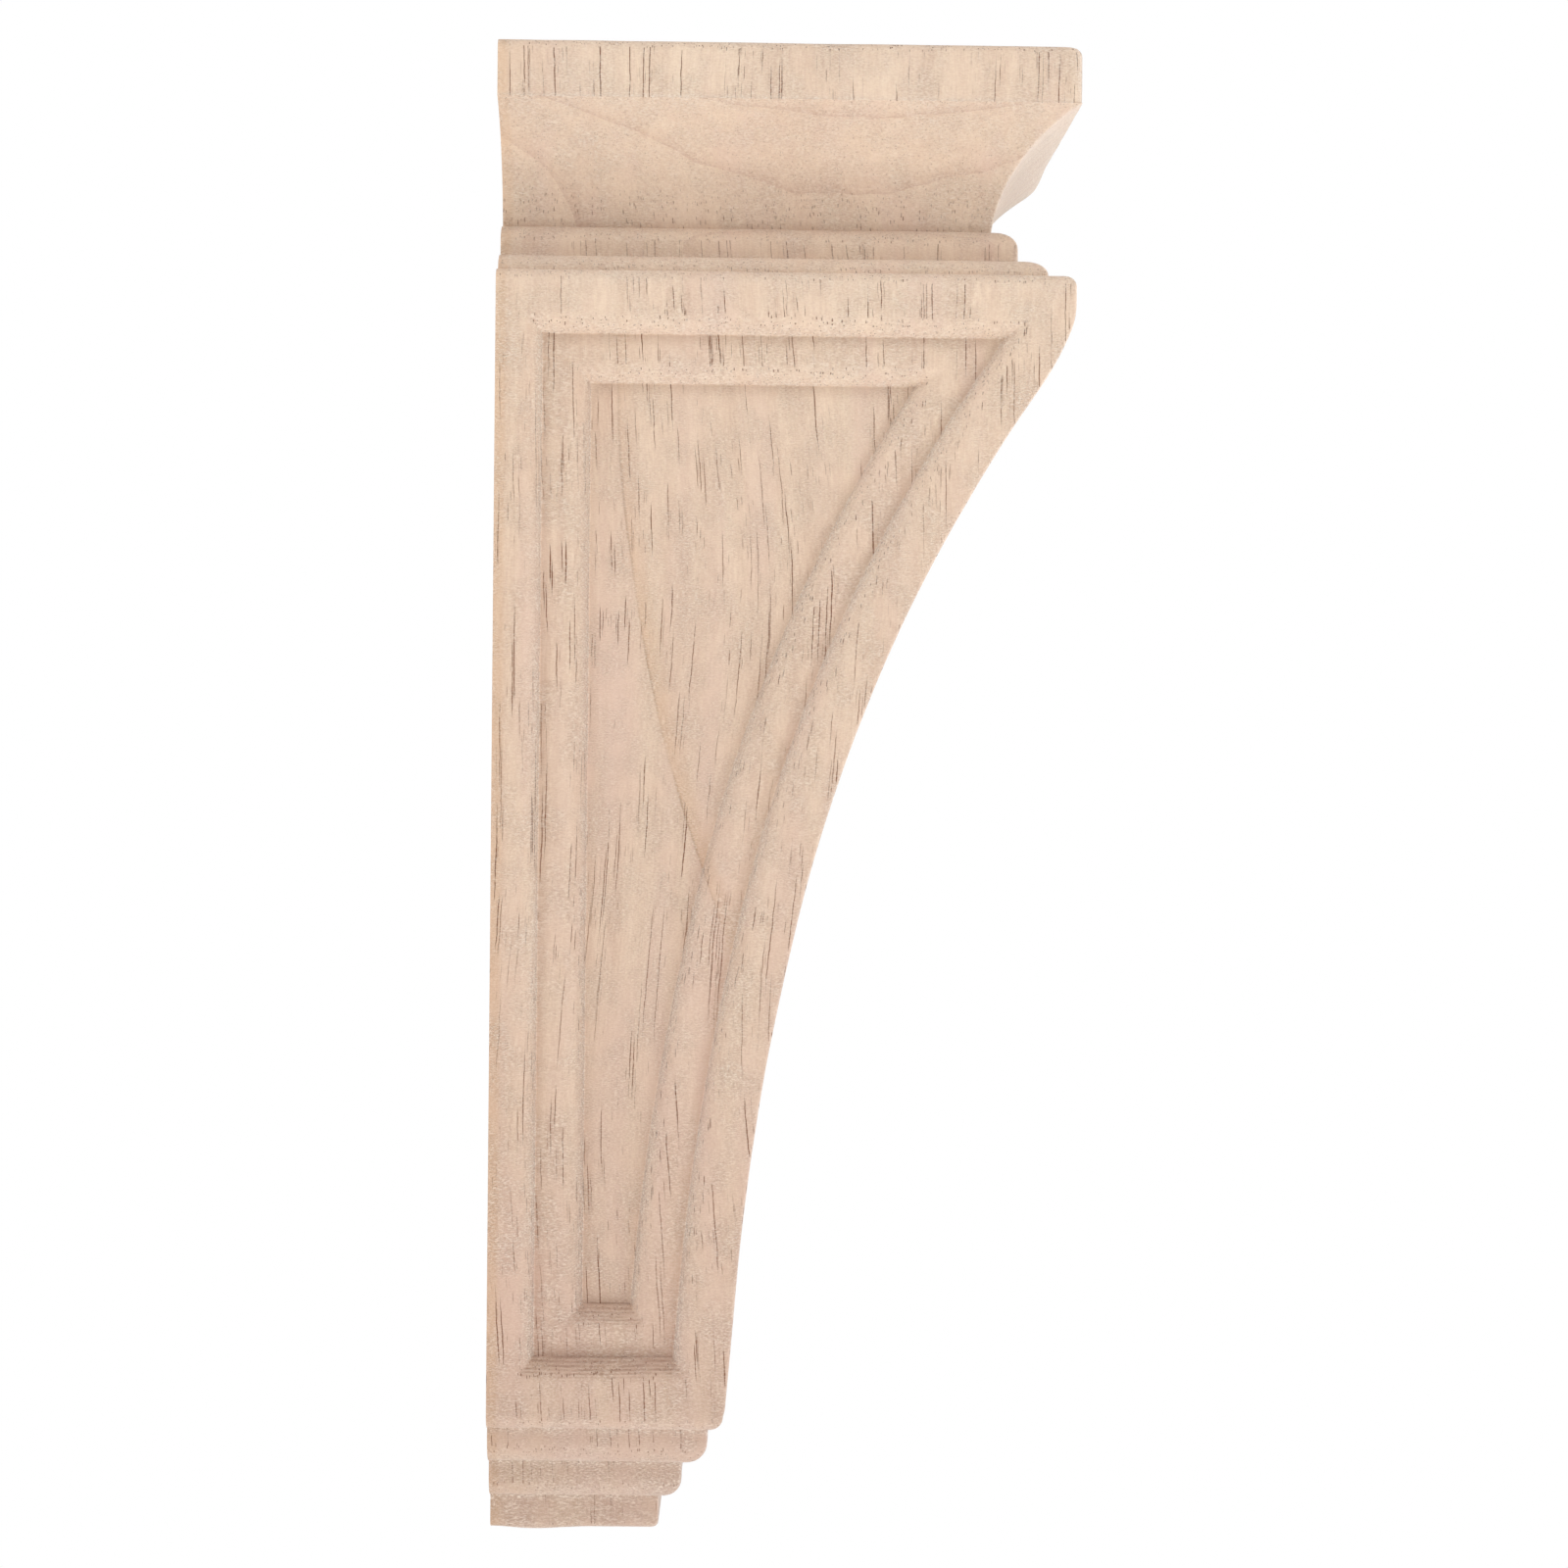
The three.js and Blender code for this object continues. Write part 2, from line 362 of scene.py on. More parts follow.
# One row's points: near side from back to front, front, far side, and back
def layRing(row, bodyRow):
    up, corner, filled = row["up"], row["corner"], coveFill(row["up"])
    front, wide = row["front"], half - row["side"]
    bodyFront = bodyRow["front"] - bodyRow["corner"]
    columns = sideColumns(bodyRow["up"], bodyFront)
    ring = []

    def place(x, y, into=outside, tornAndPaintedLight=row["tornAndPaintedLight"]):
        share = (y / half + 1) / 2
        swell = filled * share * share * (3 - 2 * share)
        grown = (front + swell) / front
        ring.append((x * grown, y + math.copysign(swell, y) * min(1, abs(y) / wide), up, into, tornAndPaintedLight))

    def side(hand, order):
        for x, into in order:
            depth = min(into, row["into"])
            wall = "side" if into <= row["into"] else "bottom" if up < middle else "top"
            scaled = x / bodyFront * (front - corner)
            place(scaled, hand * wide, depth, tornAndPaintedLightAt(depth, wall) or row["tornAndPaintedLight"])

    side(-1, columns)
    for i in range(1, mesh["cornerSteps"] + 1):
        angle = math.pi / 2 * (i / mesh["cornerSteps"] - 1)
        place(front - corner + corner * math.cos(angle), -wide + corner + corner * math.sin(angle))
    inner = wide - corner
    for i in range(1, mesh["frontColumns"]):
        place(front, inner * (2 * i / mesh["frontColumns"] - 1))
    for i in range(mesh["cornerSteps"]):
        angle = math.pi / 2 * i / mesh["cornerSteps"]
        place(front - corner + corner * math.cos(angle), wide - corner + corner * math.sin(angle))
    side(1, reversed(columns))
    for i in range(1, mesh["frontColumns"]):
        place(0, wide * (1 - 2 * i / mesh["frontColumns"]))
    return ring


# Faces between the rings. On a mitre of the panel they are cut along it.
def joinRings(points, count, levels):
    faces = []
    for level in range(levels - 1):
        for i in range(count):
            a, b = level * count + i, level * count + (i + 1) % count
            c, d = b + count, a + count
            onMitre = points[a][3] == points[c][3], points[b][3] == points[d][3]
            if onMitre == (True, False):
                faces += [(a, b, c), (a, c, d)]
            elif onMitre == (False, True):
                faces += [(a, b, d), (b, c, d)]
            else:
                faces.append((a, b, c, d))
    return faces


# Underside or top of the block, in rungs across from the near side to the far side
def closeEnd(points, base, count, facesUp):
    across = mesh["frontColumns"]
    rungs = (count - 2 * (across - 1)) // 2
    lines = []
    for rung in range(rungs):
        near, far = base + rung, base + 2 * rungs + across - 2 - rung
        if rung == 0:
            line = [base] + [base + count - i for i in range(1, across)] + [far]
        elif rung == rungs - 1:
            line = list(range(near, far + 1))
        else:
            line = [near]
            for i in range(1, across):
                x, y, z = (points[near][k] + (points[far][k] - points[near][k]) * i / across
                           for k in range(3))
                points.append((x, y, z, outside, 0))
                line.append(len(points) - 1)
            line.append(far)
        lines.append(line)
    faces = []
    for one, two in zip(lines, lines[1:]):
        for i in range(across):
            face = (one[i], two[i], two[i + 1], one[i + 1])
            faces.append(face if facesUp else face[::-1])
    return faces


def carveBlock():
    rows = layRows()
    inBody = [i for i, row in enumerate(rows) if row["side"] == 0 and row["up"] < bodyTop]
    first, last = inBody[0], inBody[-1]
    rings = [layRing(row, rows[min(max(i, first), last)]) for i, row in enumerate(rows)]
    count = len(rings[0])
    points = [point for ring in rings for point in ring]
    faces = joinRings(points, count, len(rings))
    faces += closeEnd(points, 0, count, False)
    faces += closeEnd(points, (len(rings) - 1) * count, count, True)

    block = bpy.data.meshes.new("corbelBlock")
    block.from_pydata([(x, y, z - middle) for x, y, z, into, tornAndPaintedLight in points], [], faces)
    for name, column in (("into", 3), ("tornAndPaintedLight", 4)):
        block.attributes.new(name, "FLOAT", "POINT").data.foreach_set(
            "value", [point[column] for point in points])
    block.validate()
    piece = bpy.data.objects.new("carvedCorbel", block)
    bpy.context.scene.collection.objects.link(piece)
    return piece


print("block laid out")


# Small helpers for node trees. A value is a number or the output of another node.

def addNode(tree, kind, **settings):
    node = tree.nodes.new(kind)
    for name, value in settings.items():
        setattr(node, name, value)
    return node


def feed(tree, socket, value):
    if isinstance(value, bpy.types.NodeSocket):
        tree.links.new(value, socket)
    else:
        socket.default_value = value


def calc(tree, operation, *values, clamp=False):
    node = addNode(tree, "ShaderNodeMath", operation=operation, use_clamp=clamp)
    for socket, value in zip(node.inputs, values):
        feed(tree, socket, value)
    return node.outputs[0]


# All of the values multiplied together
def product(tree, first, *others):
    for other in others:
        first = calc(tree, "MULTIPLY", first, other)
    return first


def vector(tree, operation, *values):
    node = addNode(tree, "ShaderNodeVectorMath", operation=operation)
    for socket, value in zip(node.inputs, values):
        feed(tree, socket, value)
    return node.outputs["Value" if operation == "LENGTH" else "Vector"]


def spread(tree, value, low, high, newLow=0.0, newHigh=1.0, smooth=False):
    node = addNode(tree, "ShaderNodeMapRange", clamp=True)
    if smooth:
        node.interpolation_type = "SMOOTHSTEP"
    for name, number in (("Value", value), ("From Min", low), ("From Max", high),
                         ("To Min", newLow), ("To Max", newHigh)):
        feed(tree, node.inputs[name], number)
    return node.outputs["Result"]


# Noise whose patches are about the given size along each axis
def noise(tree, place, size, detail=2.0, roughness=0.5):
    node = addNode(tree, "ShaderNodeTexNoise")
    feed(tree, node.inputs["Vector"],
         vector(tree, "MULTIPLY", place, [1 / length for length in size]))
    node.inputs["Scale"].default_value = 1
    node.inputs["Detail"].default_value = detail
    node.inputs["Roughness"].default_value = roughness
    return node


def mixed(tree, share, one, two):
    node = addNode(tree, "ShaderNodeMix", data_type="RGBA")
    feed(tree, node.inputs[0], share)
    feed(tree, node.inputs[6], one)
    feed(tree, node.inputs[7], two)
    return node.outputs[2]


def moved(tree, geometry, offset):
    node = addNode(tree, "GeometryNodeSetPosition")
    feed(tree, node.inputs["Geometry"], geometry)
    feed(tree, node.inputs["Offset"], offset)
    return node.outputs[0]


# Carving tree: sinks the panel by its rule, then works the surface by hand

carving = {
    "Edge Round": panel["edgeRound"],
    "Edge Depth": panel["edgeDepth"],
    "Foot Ease": 0.25,           # keeps the foot of each wall from being quite upright
    "Step": panel["step"],
    "Sanding": 0.00022,          # how far sanding by hand leaves the faces from true
    "Sanding Size": 0.03,
    "Foot Sag": corbel["footSag"],
}


# Each step of the panel falls away as a quarter round and ends at its foot
def sinkPanel(tree, start, acrossBlock):
    ease = start["Foot Ease"]
    whole = calc(tree, "ADD", calc(tree, "MULTIPLY", ease, ease), 1)
    most = calc(tree, "SQRT", whole)

    def sunk(distance):
        share = calc(tree, "ADD", calc(tree, "DIVIDE", distance, start["Edge Round"]), 1,
                     clamp=True)
        rest = calc(tree, "SQRT",
                    calc(tree, "SUBTRACT", whole, calc(tree, "MULTIPLY", share, share)))
        fallen = calc(tree, "DIVIDE", calc(tree, "SUBTRACT", most, rest),
                      calc(tree, "SUBTRACT", most, ease))
        return calc(tree, "MULTIPLY", start["Edge Depth"], fallen)

    intoNode = addNode(tree, "GeometryNodeInputNamedAttribute", data_type="FLOAT")
    intoNode.inputs["Name"].default_value = "into"
    into = intoNode.outputs["Attribute"]
    depth = calc(tree, "ADD", sunk(into), sunk(calc(tree, "SUBTRACT", into, start["Step"])))
    inward = calc(tree, "MULTIPLY", calc(tree, "SIGN", acrossBlock), -1)
    sinking = addNode(tree, "ShaderNodeCombineXYZ")
    feed(tree, sinking.inputs["Y"], calc(tree, "MULTIPLY", inward, depth))
    return moved(tree, start["Block"], sinking.outputs[0])


# Hand sanding leaves long low waves, none of them in the plane of the back
def sandFaces(tree, start, block, place, depth):
    scaled = addNode(tree, "ShaderNodeVectorMath", operation="SCALE")
    feed(tree, scaled.inputs[0], place)
    feed(tree, scaled.inputs["Scale"], calc(tree, "DIVIDE", 1, start["Sanding Size"]))
    waves = addNode(tree, "ShaderNodeTexNoise")
    feed(tree, waves.inputs["Vector"], scaled.outputs[0])
    waves.inputs["Scale"].default_value = 1
    waves.inputs["Detail"].default_value = 2
    height = calc(tree, "MULTIPLY", calc(tree, "SUBTRACT", waves.outputs[0], 0.5), 2)
    amount = product(tree, height, start["Sanding"], spread(tree, depth, 0, 0.004))
    along = addNode(tree, "ShaderNodeVectorMath", operation="SCALE")
    feed(tree, along.inputs[0], addNode(tree, "GeometryNodeInputNormal").outputs[0])
    feed(tree, along.inputs["Scale"], amount)
    return moved(tree, block, along.outputs[0])


# The foot's underside hangs a little low near the back
def sagFoot(tree, start, block, depth, up):
    low = spread(tree, up, -middle, -middle + 0.004, 1, 0)
    rise = spread(tree, depth, 0, 0.01, smooth=True)
    fall = spread(tree, depth, 0.01, 0.024, 1, 0, smooth=True)
    hang = product(tree, rise, fall, low, start["Foot Sag"], -1)
    sag = addNode(tree, "ShaderNodeCombineXYZ")
    feed(tree, sag.inputs["Z"], hang)
    return moved(tree, block, sag.outputs[0])


def carvingTree(wood):
    tree = bpy.data.node_groups.new("carving", "GeometryNodeTree")
    tree.is_modifier = True
    tree.interface.new_socket("Block", in_out="INPUT", socket_type="NodeSocketGeometry")
    tree.interface.new_socket("Corbel", in_out="OUTPUT", socket_type="NodeSocketGeometry")
    for name, value in carving.items():
        socket = tree.interface.new_socket(name, in_out="INPUT", socket_type="NodeSocketFloat")
        socket.default_value = value
    start = addNode(tree, "NodeGroupInput").outputs
    end = addNode(tree, "NodeGroupOutput")
    place = addNode(tree, "GeometryNodeInputPosition").outputs[0]
    axes = addNode(tree, "ShaderNodeSeparateXYZ")
    feed(tree, axes.inputs[0], place)
    depth, acrossBlock, up = axes.outputs

    block = sinkPanel(tree, start, acrossBlock)
    block = sandFaces(tree, start, block, place, depth)
    block = sagFoot(tree, start, block, depth, up)
    real = addNode(tree, "GeometryNodeRealizeInstances")
    feed(tree, real.inputs[0], block)
    finish = addNode(tree, "GeometryNodeSetMaterial")
    feed(tree, finish.inputs["Geometry"], real.outputs[0])
    finish.inputs["Material"].default_value = wood
    feed(tree, end.inputs[0], finish.outputs[0])
    return tree


# Raw wood: long grain along Z, growth rings round a pith in front of the near side, fine bands
# between them, open pores that show as broken lines along the grain and as dots across it, and
# fibres torn where a cutter ran, made pale partly as painted light. Painted shade darkens small
# pits, the feet of the panel's walls and the crown's hollow. Its sizes and places are millimetres.

grain = {
    "light": (0.89, 0.708, 0.542, 1),
    "deep": (0.660, 0.450, 0.335, 1),
    "pinkish": (0.805, 0.592, 0.475, 1),
    "toasted": (0.740, 0.500, 0.320, 1),
    "lowTint": (0.79, 0.740, 0.735, 1),    # darker and redder towards the foot
    "footTint": (0.86, 0.86, 0.85, 1),
    "pore": (0.190, 0.060, 0.015, 1),
    # pale torn fibres, partly a painted highlight
    "fluffAndHighlight": (1.0, 0.880, 0.760, 1),
    "pith": (82, -197.3, 0),
    "pithLean": (0.15, 0, 0),    # how far the pith moves for each millimetre of height
    "pithHeight": 150,
    "ringWidth": 13,
    "ringRadius": 158,           # of the ring that shows best on the crown
    "ringTaper": -0.035,         # how much the rings narrow for each millimetre of height
    "bandWidth": 0.85,
    "lineStart": 44.2,           # the ring edge that crosses the panel: depth at middle height,
    "lineLean": -0.296,          # change of depth for each millimetre of height,
    "lineBow": 0.00139,          # and for its square
    # pores: their spacing, their thickness as a share of it, how many places are empty, and how
    # faint the faintest are
    "longPores": {"spacing": (0.5, 0.5, 60), "thickness": 0.31, "empty": 0.44, "faintest": 0.5},
    "shortPores": {"spacing": (0.5, 0.5, 9), "thickness": 0.24, "empty": 0.45, "faintest": 0.3},
    "paintedShade": 0.24,                # painted shade at the foot of the panel's outer wall,
    "innerPaintedShade": 0.17,           # of its inner wall,
    "hollowPaintedShade": 0.075,         # in the hollow of the crown
    "bandPaintedShade": 0.03,            # and above it
    "roughness": 0.8,
    "sheen": 0.25,
    "relief": 0.0003,            # metres
}


# The grain leans and wanders a little as it runs down the block
def grainRun(tree, place):
    centre = (0.5, 0.5, 0.5)
    wander = noise(tree, place, (60, 60, 110), 0).outputs["Color"]
    bend = vector(tree, "MULTIPLY", vector(tree, "SUBTRACT", wander, centre), (-16, 5, 0))
    ripple = noise(tree, place, (6, 6, 9), 3, 0.65).outputs["Color"]
    ripple = vector(tree, "MULTIPLY", vector(tree, "SUBTRACT", ripple, centre), (0.9, 0.2, 0))
    return vector(tree, "ADD", vector(tree, "ADD", place, bend), ripple)


# Growth rings with a thin dark edge, and the fine bands between them
def growthRings(tree, place, up, wobble, patchy):
    aboveStart = calc(tree, "SUBTRACT", up, grain["pithHeight"])
    lean = vector(tree, "MULTIPLY", grain["pithLean"], aboveStart)
    fromPith = vector(tree, "SUBTRACT", vector(tree, "MULTIPLY", place, (1, 1, 0)), grain["pith"])
    fromPith = vector(tree, "SUBTRACT", fromPith, lean)
    distance = calc(tree, "SUBTRACT", vector(tree, "LENGTH", fromPith), grain["ringRadius"])
    distance = calc(tree, "MULTIPLY_ADD", aboveStart, grain["ringTaper"], distance)
    ringPlace = calc(tree, "MULTIPLY_ADD", wobble, 0.35,
                     calc(tree, "DIVIDE", distance, grain["ringWidth"]))
    season = calc(tree, "FRACT", ringPlace)

    # They show on the crown's hollow, and less on the body and the band
    ring = product(tree, calc(tree, "POWER", season, 12),
                   spread(tree, up, 128, 138, 0.3, 1), spread(tree, up, 163, 167, 1, 0.2))
    fine = noise(tree, place, (6, 6, 30)).outputs[0]
    bandPlace = calc(tree, "MULTIPLY_ADD", fine, 1.3,
                     calc(tree, "DIVIDE", distance, grain["bandWidth"]))
    band = product(tree, calc(tree, "PINGPONG", bandPlace, 0.5),
                   spread(tree, patchy, 0.35, 0.65, 0.3, 1))
    return ring, band


# One ring edge runs slantwise down the panel, browner on its front side
def panelRingEdge(tree, depth, up, wobble, patchy):
    drift = calc(tree, "MULTIPLY_ADD", up, grain["lineBow"], grain["lineLean"])
    line = calc(tree, "MULTIPLY_ADD", up, drift, grain["lineStart"])
    line = calc(tree, "MULTIPLY_ADD", wobble, 2.5, line)
    beyond = calc(tree, "SUBTRACT", depth, line)
    browner = product(tree, spread(tree, beyond, -0.3, 0.1),
                      spread(tree, beyond, 0, 6, 1, 0, smooth=True),
                      spread(tree, up, 120, 40, 0.1, 1), spread(tree, up, -45, -15))
    edge = product(tree, spread(tree, beyond, -0.35, -0.05), spread(tree, beyond, 0.05, 0.5, 1, 0),
                   spread(tree, up, 110, 70, 0.1, 1), spread(tree, up, -35, -18),
                   spread(tree, patchy, 0.4, 0.6, 0.2, 1))
    return browner, edge


# Broad colour with its streaks and fibres, deeper where the rings and bands are
def woodColour(tree, place, run, up, fibre, fleck, ring, band):
    blotch = noise(tree, place, (40, 40, 110), 3).outputs[0]
    streak = noise(tree, run, (3, 3, 130), 3, 0.6).outputs[0]
    tone = calc(tree, "MULTIPLY", blotch, 0.7)
    for value, share in ((streak, 0.95), (fibre, 1.2), (fleck, 0.8), (ring, 0.7), (band, 0.35)):
        tone = calc(tree, "MULTIPLY_ADD", value, share, tone)
    colour = mixed(tree, spread(tree, tone, 1.45, 2.8), grain["light"], grain["deep"])
    pinkness = noise(tree, run, (8, 8, 70), 3).outputs[0]
    pinkness = calc(tree, "MULTIPLY_ADD", up, -0.0006, pinkness)
    return mixed(tree, spread(tree, pinkness, 0.42, 0.72, 0, 0.8), colour, grain["pinkish"])


# The back edge is toasted, and the colour turns darker and redder towards the foot
def edgeAndFootColour(tree, colour, depth, up):
    edgeStrip = calc(tree, "ADD", spread(tree, depth, 1.6, 3.2, 0.4, 0, smooth=True),
                     spread(tree, depth, 1, 9, 0.15, 0))
    colour = mixed(tree, edgeStrip, colour, grain["toasted"])
    for start, end, tint in ((150, -130, grain["lowTint"]), (-125, -165, grain["footTint"])):
        tint = mixed(tree, spread(tree, up, start, end), (1, 1, 1, 1), tint)
        colour = vector(tree, "MULTIPLY", colour, tint)
    return colour


# Spindles scattered along the grain, each with its own darkness. Some places stay empty.
def spindles(tree, run, spacing, thickness, empty, faintest):
    cells = addNode(tree, "ShaderNodeTexVoronoi", feature="F1")
    feed(tree, cells.inputs["Vector"],
         vector(tree, "MULTIPLY", run, [1 / length for length in spacing]))
    cells.inputs["Scale"].default_value = 1
    chance = addNode(tree, "ShaderNodeSeparateColor")
    feed(tree, chance.inputs[0], cells.outputs["Color"])
    reach = calc(tree, "MULTIPLY_ADD", chance.outputs[0], thickness * 0.5, thickness * 0.6)
    spindle = spread(tree, cells.outputs["Distance"], reach, calc(tree, "MULTIPLY", reach, 0.7))
    there = calc(tree, "GREATER_THAN", chance.outputs[1], empty)
    dark = spread(tree, chance.outputs[2], 0, 1, faintest, 1)
    return product(tree, spindle, there, dark)


# Pores: long ones broken up along their length, and fine short ones in crowds. The sanded hollow
# of the crown has most of its pores filled with dust.
def openPores(tree, place, run, up):
    gaps = noise(tree, run, (0.7, 0.7, 2.6), 1).outputs[0]
    long = product(tree, spindles(tree, run, **grain["longPores"]),
                   spread(tree, gaps, 0.3, 0.4, 0.35, 1))
    crowd = noise(tree, place, (12, 12, 45)).outputs[0]
    short = product(tree, spindles(tree, run, **grain["shortPores"]),
                    spread(tree, crowd, 0.35, 0.62, 0.1, 0.75))
    unfilled = calc(tree, "MAXIMUM", spread(tree, up, 139, 147, 1, 0.4),
                    spread(tree, up, 162, 165))
    return product(tree, calc(tree, "MAXIMUM", long, short), unfilled)


# Torn fibres stand up as short pale ticks beside small pits, and here and there on the faces.
# Their paleness is partly painted light, most on the panel's walls, and the pits' darkening is
# painted shade.
def tornFibresAndPaintedLight(tree, place, tornAndPaintedLight):
    tick = noise(tree, place, (0.75, 0.75, 0.3), 2, 0.65).outputs[0]
    patch = noise(tree, place, (7, 7, 10)).outputs[0]
    tornAndPaintedLight = calc(tree, "MULTIPLY", tornAndPaintedLight, spread(tree, patch, 0.35, 0.55, 0.5, 1))
    # torn places turn paler, partly as painted light
    pale = calc(tree, "MULTIPLY", tornAndPaintedLight, 0.22, clamp=True)
    tornAndPaintedLight = calc(tree, "MAXIMUM", tornAndPaintedLight, spread(tree, patch, 0.38, 0.75, 0.15, 0.7))
    ticks = product(tree, spread(tree, tick, 0.48, 0.62), tornAndPaintedLight)
    # the pits darken as painted shade
    pitsAndPaintedShade = product(tree, spread(tree, tick, 0.46, 0.3), calc(tree, "MINIMUM", tornAndPaintedLight, 0.45))
    return calc(tree, "MULTIPLY_ADD", ticks, 0.75, pale, clamp=True), ticks, pitsAndPaintedShade


# Painted shade darkens the corner at the foot of each wall and the hollow of the crown
def paintShade(tree, colour, into, up):
    for foot, amount in ((0, grain["paintedShade"]), (panel["step"], grain["innerPaintedShade"])):
        past = calc(tree, "SUBTRACT", into, foot)
        paintedShade = product(tree, spread(tree, past, 0, 0.0004),
                       spread(tree, past, 0.0004, 0.003, amount, 0))
        colour = mixed(tree, paintedShade, colour, grain["pore"])
    paintedShade = product(tree, spread(tree, up, 128, 130),
                   spread(tree, up, 165.5, 162.5, grain["bandPaintedShade"], grain["hollowPaintedShade"]))
    return mixed(tree, paintedShade, colour, grain["pore"])


# The cutter's level lines in the end grain along the bottom of the panel
def cutterLines(tree, place, up, sway, endGrainAndPaintedShade):
    level = calc(tree, "MULTIPLY_ADD", sway, 2.5, calc(tree, "DIVIDE", up, 0.8))
    level = spread(tree, calc(tree, "PINGPONG", level, 0.5), 0.1, 0.4)
    worn = noise(tree, place, (5, 5, 1.2)).outputs[0]
    return product(tree, level, endGrainAndPaintedShade, spread(tree, worn, 0.35, 0.6, 0.25, 1))


def pointValue(tree, name):
    return addNode(tree, "ShaderNodeAttribute", attribute_name=name).outputs["Fac"]


def rawWood():
    wood = bpy.data.materials.new("rawWood")
    wood.use_nodes = True
    tree = wood.node_tree
    tree.nodes.clear()
    surface = addNode(tree, "ShaderNodeBsdfPrincipled")
    output = addNode(tree, "ShaderNodeOutputMaterial")
    tree.links.new(surface.outputs[0], output.inputs["Surface"])
    here = addNode(tree, "ShaderNodeTexCoord").outputs["Object"]
    place = vector(tree, "MULTIPLY", here, (1000, 1000, 1000))
    axes = addNode(tree, "ShaderNodeSeparateXYZ")
    feed(tree, axes.inputs[0], place)
    depth, up = axes.outputs["X"], axes.outputs["Z"]
    run = grainRun(tree, place)
    sway = noise(tree, place, (22, 22, 70)).outputs[0]
    wobble = calc(tree, "SUBTRACT", sway, 0.5)
    patchy = noise(tree, place, (12, 12, 25)).outputs[0]
    fibre = noise(tree, run, (0.5, 0.5, 4), 3, 0.65).outputs[0]
    fleck = noise(tree, place, (0.9, 0.9, 0.4), 2, 0.6).outputs[0]
    tornAndPaintedLight, into = pointValue(tree, "tornAndPaintedLight"), pointValue(tree, "into")
    # a number below nothing: end grain where the panel's walls face up, darkened partly as painted
    # shade
    endGrainAndPaintedShade = spread(tree, tornAndPaintedLight, 0, -1)

    ring, band = growthRings(tree, place, up, wobble, patchy)
    browner, ringEdge = panelRingEdge(tree, depth, up, wobble, patchy)
    pore = openPores(tree, place, run, up)
    pale, ticks, pitsAndPaintedShade = tornFibresAndPaintedLight(tree, place, tornAndPaintedLight)
    cutterLine = cutterLines(tree, place, up, sway, endGrainAndPaintedShade)
    # the end grain's darkening is partly painted shade on walls that face up
    browned = calc(tree, "MULTIPLY_ADD", cutterLine, 0.3, calc(tree, "MULTIPLY", endGrainAndPaintedShade, 0.1))

    colour = woodColour(tree, place, run, up, fibre, fleck, ring, band)
    colour = mixed(tree, calc(tree, "MULTIPLY", browner, 0.5), colour, grain["toasted"])
    colour = mixed(tree, calc(tree, "MULTIPLY", ringEdge, 0.3), colour, grain["pore"])
    colour = edgeAndFootColour(tree, colour, depth, up)
    colour = mixed(tree, pore, colour, grain["pore"])
    # torn fibres turn pale, partly as painted light on the panel's walls
    colour = mixed(tree, pale, colour, grain["fluffAndHighlight"])
    # pits darkened as painted shade
    colour = mixed(tree, calc(tree, "MULTIPLY", pitsAndPaintedShade, 0.42), colour, grain["pore"])
    # painted shade at the foot of the panel's walls and in the crown's hollow
    colour = paintShade(tree, colour, into, up)
    colour = mixed(tree, browned, colour, grain["pore"])
    tree.links.new(colour, surface.inputs["Base Color"])

    roughness = calc(tree, "MULTIPLY_ADD", fibre, 0.2, grain["roughness"] - 0.1)
    tree.links.new(roughness, surface.inputs["Roughness"])
    surface.inputs["Specular IOR Level"].default_value = 0.3
    surface.inputs["Sheen Weight"].default_value = grain["sheen"]
    surface.inputs["Sheen Roughness"].default_value = 0.4

    # Pores, pits and cutter lines lie low, fibres and torn ticks stand up
    height = calc(tree, "MULTIPLY", fibre, 0.45)
    for value, share in ((pore, -1.2), (fleck, 0.35), (band, -0.3), (ticks, 1.1), (pitsAndPaintedShade, -0.8),
                         (cutterLine, -0.9)):
        height = calc(tree, "MULTIPLY_ADD", value, share, height)
    bump = addNode(tree, "ShaderNodeBump")
    bump.inputs["Strength"].default_value = 0.7
    bump.inputs["Distance"].default_value = grain["relief"]
    tree.links.new(height, bump.inputs["Height"])
    tree.links.new(bump.outputs[0], surface.inputs["Normal"])
    return wood


wood = rawWood()
print("wood mixed")


def finishCorbel(wood):
    piece = carveBlock()
    carver = piece.modifiers.new("carving", "NODES")
    carver.node_group = carvingTree(wood)
    for item in carver.node_group.interface.items_tree:
        if item.item_type == "SOCKET" and item.in_out == "INPUT" and item.name in carving:
            carver[item.identifier] = carving[item.name]
    piece.update_tag()
    graph = bpy.context.evaluated_depsgraph_get()
    made = bpy.data.meshes.new_from_object(piece.evaluated_get(graph), depsgraph=graph)
    piece.modifiers.remove(carver)
    piece.data = made
    made.shade_smooth()
    made.set_sharp_from_angle(angle=math.radians(32))
    return piece


carved = finishCorbel(wood)
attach(carved, "root")
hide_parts("corbel")
print("corbel carved:", len(carved.data.polygons), "faces")


# Camera where the photograph was taken from, straight at the near side

camera = {
    "place": (0.062916, -0.818431, 0.030579),
    "turn": (87.99144, -0.67942, -0.43325),
    "lens": 74.147,
    "sensor": 36,
}


def setCamera():
    data = bpy.data.cameras.new("camera")
    data.lens = camera["lens"]
    data.sensor_width = camera["sensor"]
    data.clip_start = 0.01
    data.clip_end = 50
    eye = bpy.data.objects.new("camera", data)
    eye.location = camera["place"]
    eye.rotation_euler = [math.radians(angle) for angle in camera["turn"]]
    bpy.context.scene.collection.objects.link(eye)
    bpy.context.scene.camera = eye


setCamera()


# Soft white studio: a little even light, broad lamps on all sides, a pale floor well below

